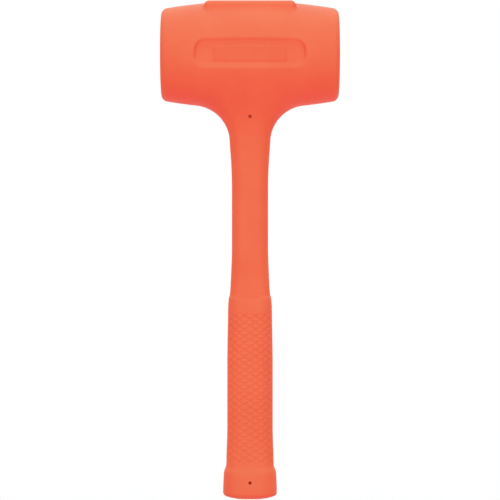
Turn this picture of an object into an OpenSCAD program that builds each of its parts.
// Dead blow mallet: a steel shot canister and a steel rod, cast into one piece of urethane.
// +Z is up, the head lies along X and the recessed panels face -Y and +Y.
// The origin is on the handle's axis, where the two prongs of a rack bear on the neck.

/* [Head] */
// Length of the head, face to face
head_len = 127; // [124:1:132]
// Diameter at the middle of the barrel
head_dia = 77; // [75:1:79]
// Radius of the barrel's crown along the head
crown_r = 360; // [300:10:500]
// Radius round the edge of each strike face
face_edge_r = 4.5; // [3:0.5:6]
// Height of the head's axis above the origin
axis_height = 44; // [43:0.5:46]
// Height of the pour pad's flat top above the head's axis
pad_height = 37.2; // [36:0.1:38]
// Length of the pour pad's top
pad_len = 62; // [50:1:66]
// Depth of the pour pad's top, front to back
pad_depth = 42; // [36:1:44]
// Draft of the pour pad's walls, measured at its foot
pad_draft = 2; // [1:0.5:3]

/* [Panels] */
// Length of each recessed panel
panel_len = 77; // [60:1:80]
// Height of each recessed panel
panel_height = 16; // [12:1:18]
// Corner radius of each recessed panel
panel_corner_r = 7; // [4:0.5:8]
// Distance from the head's axis to each panel's flat floor
panel_floor = 34.8; // [34:0.1:36]

/* [Handle] */
// Distance from the head's axis to the butt's underside
handle_reach = 318.4; // [314:0.2:322]
// Width of the shaft at its slimmest
shaft_width = 25.9; // [24:0.1:28]
// Thickness of the shaft at its slimmest
shaft_thick = 20; // [18:0.5:22]
// Width of the grip
grip_width = 32.5; // [30:0.5:34]
// Thickness of the grip
grip_thick = 25.6; // [24:0.2:28]
// Width of the butt collar
butt_width = 38.4; // [36:0.2:40]
// Thickness of the butt collar
butt_thick = 31.6; // [30:0.2:33]
// Width over the neck's shoulders, where they meet the barrel
shoulder_width = 72; // [66:1:74]
// Exponent of the superellipse that every handle section follows
section_power = 2.5; // [2:0.1:3]

/* [Mould pin marks] */
// Diameter of each pin mark
pin_dia = 2.4; // [2:0.1:3]
// Upper pin marks, distance below the head's axis
upper_pin_drop = 45; // [44:0.5:50]
// Lower pin marks, distance below the head's axis
lower_pin_drop = 305.4; // [300:0.2:308]

/* [Canister] */
// Outer diameter of the canister's tube
tube_dia = 54.6; // [53.5:0.1:56]
// Wall of the canister's tube
tube_wall = 2.3; // [2:0.1:2.4]
// Length of the canister's tube
tube_len = 92; // [91:1:94]
// Thickness of each end cap
cap_thick = 3; // [2.5:0.1:3]
// How far each end cap sits inside the tube's end
cap_inset = 2; // [1.9:0.1:2]
// Leg of each cap's fillet weld
cap_weld_leg = 1.8; // [1.2:0.1:1.8]

/* [Rod and socket] */
// Diameter of the handle rod
rod_dia = 11; // [10:0.5:12]
// Rubber left between the rod's end and the butt's underside
rod_end_cover = 6.2; // [5:0.1:9]
// Depth of the grooves that key the rod into the casing
groove_depth = 0.7; // [0.4:0.1:1]
// Outer diameter of the rod's socket
socket_dia = 20; // [18:0.5:22]
// Distance from the head's axis to the socket's open end
socket_drop = 39; // [37:0.5:40]

/* [Shot] */
// Diameter of one ball of shot
ball_dia = 7.14; // [6.5:0.01:7.14]
// Distance between the centres of neighbouring balls in a layer
ball_pitch = 7.3; // [7.3:0.01:7.34]
// Distance between the centres of one layer and the next
layer_step = 7.45; // [7.3:0.01:7.5]
// Distance from the head's axis down to the lowest layer's centres
lowest_layer = 19.6; // [19.5:0.1:19.6]

/* [Hidden] */
$fn = 96;
SLACK = 1; // how far a cutting solid runs past the face that it cuts
head_r = head_dia / 2;
half_head = head_len / 2;
tube_r = tube_dia / 2;
bore_r = tube_r - tube_wall;
rod_r = rod_dia / 2;
rod_top = -(tube_r + 0.2);
rod_end = -(handle_reach - rod_end_cover);
rod_weld_leg = 3;
socket_weld_drop = 31;
socket_weld_top = 24;
socket_weld_r = 15;

// Grooves of the rod: the first one's top below the head's axis, pitch, width and number.
groove_start = 190;
groove_pitch = 14;
groove_width = 5;
groove_count = 8;

// Balls of each layer, lowest first: how many along X, how many along Y.
LAYERS = [[10, 3], [10, 5], [9, 6], [8, 6], [7, 6]];

// Points round each handle section, and rings down the neck's fillet.
SECTION_POINTS = 28;
NECK_RINGS = 7;
// Neck fillet, below the head's axis: its top and the height where it meets the shaft.
neck_top = 36.9;
neck_end = 61;
neck_width = 29.6;
neck_thick = 22.4;
shoulder_thick = 40;

// Handle below the neck: [distance below the head's axis, width, thickness].
HANDLE = [
    [75, shaft_width + 1.1, shaft_thick + 0.8],
    [95, shaft_width + 0.1, shaft_thick],
    [140, shaft_width, shaft_thick],
    [152, shaft_width + 0.8, shaft_thick + 0.6],
    [165, shaft_width + 2, shaft_thick + 1.4],
    [173, shaft_width + 3.1, shaft_thick + 2.2],
    [173.8, grip_width - 2.9, grip_thick - 2.6],
    [177, grip_width - 1.8, grip_thick - 1.6],
    [182, grip_width - 1.1, grip_thick - 1],
    [200, grip_width - 0.4, grip_thick - 0.4],
    [220, grip_width, grip_thick],
    [268, grip_width, grip_thick],
    [276, grip_width + 0.4, grip_thick + 0.4],
    [284, grip_width + 1.2, grip_thick + 1.2],
    [293.6, grip_width + 1.6, grip_thick + 1.6],
    [295, grip_width + 2.2, grip_thick + 2.2],
    [298.5, butt_width - 1.7, butt_thick - 1.7],
    [304, butt_width - 0.6, butt_thick - 0.6],
    [311, butt_width, butt_thick],
    [handle_reach - 4, butt_width - 0.6, butt_thick - 0.6],
    [handle_reach - 2.6, butt_width - 1.8, butt_thick - 1.8],
    [handle_reach - 1.2, butt_width - 5, butt_thick - 5],
    [handle_reach, butt_width - 12, butt_thick - 12]
];

// Moves its children so that their own origin lies on the head's axis.
module at_head() {
    translate([0, 0, axis_height]) children();
}

// Turns a solid built along +Z so that it lies along +X.
module along_x() {
    rotate([0, 90, 0]) children();
}

// Half of the barrel's outline: the crown's sector, the face's flat and the rounded edges.
module barrel_outline() {
    crown_centre = head_r - crown_r;
    edge_x = half_head - face_edge_r;
    edge_r = crown_centre + sqrt(pow(crown_r - face_edge_r, 2) - pow(edge_x, 2));
    reach = 1.1;
    tip = [crown_centre + reach * (edge_r - crown_centre), reach * edge_x];
    intersection() {
        translate([0, -half_head]) square([head_r + SLACK, head_len]);
        union() {
            intersection() {
                translate([crown_centre, 0]) circle(crown_r, $fn = 360);
                polygon([[crown_centre, 0], [tip[0], -tip[1]], [tip[0] + crown_r, 0], tip]);
            }
            translate([0, -half_head]) square([edge_r, head_len]);
            for (side = [-1, 1])
                translate([edge_r, side * edge_x]) circle(face_edge_r);
        }
    }
}

// The flat-topped boss that the pour gate leaves on the barrel, with drafted walls.
module pour_pad() {
    corner_r = 4;
    foot = 20;
    hull() {
        for (x = [-1, 1], y = [-1, 1])
            translate([x * (pad_len / 2 - corner_r), y * (pad_depth / 2 - corner_r), foot])
                cylinder(h = pad_height - foot, r1 = corner_r + pad_draft, r2 = corner_r, $fn = 32);
    }
}

// One point of a superellipse section, at an angle round it.
function on_section(half_w, half_t, angle, z) = [
    half_w * sign(cos(angle)) * pow(abs(cos(angle)), 2 / section_power),
    half_t * sign(sin(angle)) * pow(abs(sin(angle)), 2 / section_power),
    z
];

// One ring of the neck's fillet: a quarter ellipse from the shoulders down to the shaft.
function neck_ring(i) =
    let (turn = 90 * i / (NECK_RINGS - 1))
    [
        neck_top + (neck_end - neck_top) * (1 - cos(turn)),
        shoulder_width - (shoulder_width - neck_width) * sin(turn),
        shoulder_thick - (shoulder_thick - neck_thick) * sin(turn)
    ];

// The whole handle as one skin over its sections, from inside the barrel to the butt.
module handle_skin() {
    inside = [[26, shoulder_width - 16, shoulder_thick - 8]];
    neck = [for (i = [0:NECK_RINGS - 1]) neck_ring(i)];
    rings = concat(inside, neck, HANDLE);
    count = len(rings);
    points = [
        for (ring = rings, k = [0:SECTION_POINTS - 1])
            on_section(ring[1] / 2, ring[2] / 2, 360 * k / SECTION_POINTS, -ring[0])
    ];
    sides = [
        for (i = [0:count - 2], k = [0:SECTION_POINTS - 1])
            let (next = (k + 1) % SECTION_POINTS, a = i * SECTION_POINTS, b = a + SECTION_POINTS)
            [a + k, a + next, b + next, b + k]
    ];
    top = [[for (k = [SECTION_POINTS - 1:-1:0]) k]];
    bottom = [[for (k = [0:SECTION_POINTS - 1]) (count - 1) * SECTION_POINTS + k]];
    polyhedron(points, concat(sides, top, bottom));
}

// A recessed panel's plan: a rectangle with round corners.
module panel_plan() {
    straight = panel_height - 2 * panel_corner_r;
    square([panel_len - 2 * panel_corner_r, panel_height], center = true);
    square([panel_len, straight], center = true);
    for (x = [-1, 1], y = [-1, 1])
        translate([x * (panel_len / 2 - panel_corner_r), y * straight / 2]) circle(panel_corner_r);
}

// Cuts the recessed panel into both broad sides of the head.
module panel_cuts() {
    for (turn = [0, 180])
        rotate([90, 0, turn])
            translate([0, 0, panel_floor]) linear_extrude(head_r) panel_plan();
}

// The holes that the mould's pins leave, from both broad sides to the rod.
module pin_cuts() {
    for (drop = [upper_pin_drop, lower_pin_drop])
        translate([0, 0, -drop]) rotate([90, 0, 0])
            cylinder(h = head_dia, d = pin_dia, center = true, $fn = 32);
}

// The space that the canister fills in the casing, with the rubber that enters its ends.
module canister_space() {
    difference() {
        along_x() cylinder(h = tube_len, r = tube_r, center = true);
        for (side = [0, 1])
            mirror([side, 0, 0]) translate([tube_len / 2 - cap_inset, 0, 0])
                along_x() rotate_extrude()
                    polygon([
                        [0, 0],
                        [bore_r - cap_weld_leg, 0],
                        [bore_r, cap_weld_leg],
                        [bore_r, cap_inset],
                        [0, cap_inset]
                    ]);
    }
}

// The rod's solid, with the grooves that key it into the casing.
module rod_solid() {
    difference() {
        translate([0, 0, rod_end]) cylinder(h = rod_top - rod_end, r = rod_r);
        for (i = [0:groove_count - 1])
            translate([0, 0, -(groove_start + i * groove_pitch + groove_width)])
                difference() {
                    cylinder(h = groove_width, r = rod_r + SLACK);
                    cylinder(h = groove_width, r = rod_r - groove_depth);
                }
    }
}

// The socket and both its welds as one solid, with no bore, cut to the canister's curve.
module socket_envelope() {
    difference() {
        union() {
            translate([0, 0, -socket_drop])
                cylinder(h = socket_drop - socket_weld_top, d = socket_dia);
            translate([0, 0, -socket_weld_drop])
                cylinder(
                    h = socket_weld_drop - socket_weld_top, r1 = socket_dia / 2, r2 = socket_weld_r
                );
            translate([0, 0, -(socket_drop + rod_weld_leg)])
                cylinder(h = rod_weld_leg, r1 = rod_r, r2 = rod_r + rod_weld_leg);
        }
        along_x() cylinder(h = tube_len, r = tube_r, center = true);
    }
}

module urethane_casing() {
    color("tomato") at_head() difference() {
        union() {
            along_x() rotate_extrude() barrel_outline();
            pour_pad();
            handle_skin();
        }
        translate([0, 0, pad_height + head_r / 2]) cube([head_len, head_dia, head_r], center = true);
        panel_cuts();
        pin_cuts();
        canister_space();
        socket_envelope();
        rod_solid();
    }
}

module canister_tube() {
    color("silver") at_head() along_x() difference() {
        cylinder(h = tube_len, r = tube_r, center = true);
        cylinder(h = tube_len + SLACK, r = bore_r, center = true);
    }
}

// side is -1 for the left cap and 1 for the right one.
module canister_cap(side) {
    color("lightsteelblue") at_head()
        translate([side * (tube_len / 2 - cap_inset - cap_thick / 2), 0, 0])
            along_x() cylinder(h = cap_thick, r = bore_r, center = true);
}

// The fillet weld in the corner between a cap and the tube.
module cap_weld(side) {
    color("dimgray") at_head() mirror([side < 0 ? 1 : 0, 0, 0])
        translate([tube_len / 2 - cap_inset, 0, 0]) along_x() rotate_extrude()
            polygon([[bore_r - cap_weld_leg, 0], [bore_r, 0], [bore_r, cap_weld_leg]]);
}

module rod_socket() {
    color("gray") at_head() difference() {
        translate([0, 0, -socket_drop]) cylinder(h = socket_drop, d = socket_dia);
        along_x() cylinder(h = tube_len, r = tube_r, center = true);
        translate([0, 0, -socket_drop - SLACK]) cylinder(h = socket_drop + SLACK, r = rod_r);
    }
}

// The weld round the socket's upper end, against the canister.
module socket_weld() {
    color("dimgray") at_head() difference() {
        translate([0, 0, -socket_weld_drop])
            cylinder(h = socket_weld_drop - socket_weld_top, r1 = socket_dia / 2, r2 = socket_weld_r);
        along_x() cylinder(h = tube_len, r = tube_r, center = true);
        translate([0, 0, -socket_weld_drop - SLACK])
            cylinder(h = socket_weld_drop, d = socket_dia);
    }
}

// The weld round the rod at the socket's open end.
module rod_weld() {
    color("dimgray") at_head() translate([0, 0, -(socket_drop + rod_weld_leg)])
        difference() {
            cylinder(h = rod_weld_leg, r1 = rod_r, r2 = rod_r + rod_weld_leg);
            translate([0, 0, -SLACK]) cylinder(h = rod_weld_leg + 2 * SLACK, r = rod_r);
        }
}

module handle_rod() {
    color("slategray") at_head() rod_solid();
}

// One level layer of loose shot: a grid of balls that slides along the canister.
module shot_layer(number) {
    along = LAYERS[number - 1][0];
    across = LAYERS[number - 1][1];
    height = (number - 1) * layer_step - lowest_layer;
    color("darkgray") at_head()
        for (i = [0:along - 1], j = [0:across - 1])
            translate([
                (i - (along - 1) / 2) * ball_pitch,
                (j - (across - 1) / 2) * ball_pitch,
                height
            ])
                sphere(d = ball_dia, $fn = 32);
}

urethane_casing();
canister_tube();
canister_cap(-1);  // canister_cap_left
canister_cap(1);  // canister_cap_right
cap_weld(-1);  // cap_weld_left
cap_weld(1);  // cap_weld_right
rod_socket();
socket_weld();
rod_weld();
handle_rod();
shot_layer(1);  // shot_layer_1
shot_layer(2);  // shot_layer_2
shot_layer(3);  // shot_layer_3
shot_layer(4);  // shot_layer_4
shot_layer(5);  // shot_layer_5
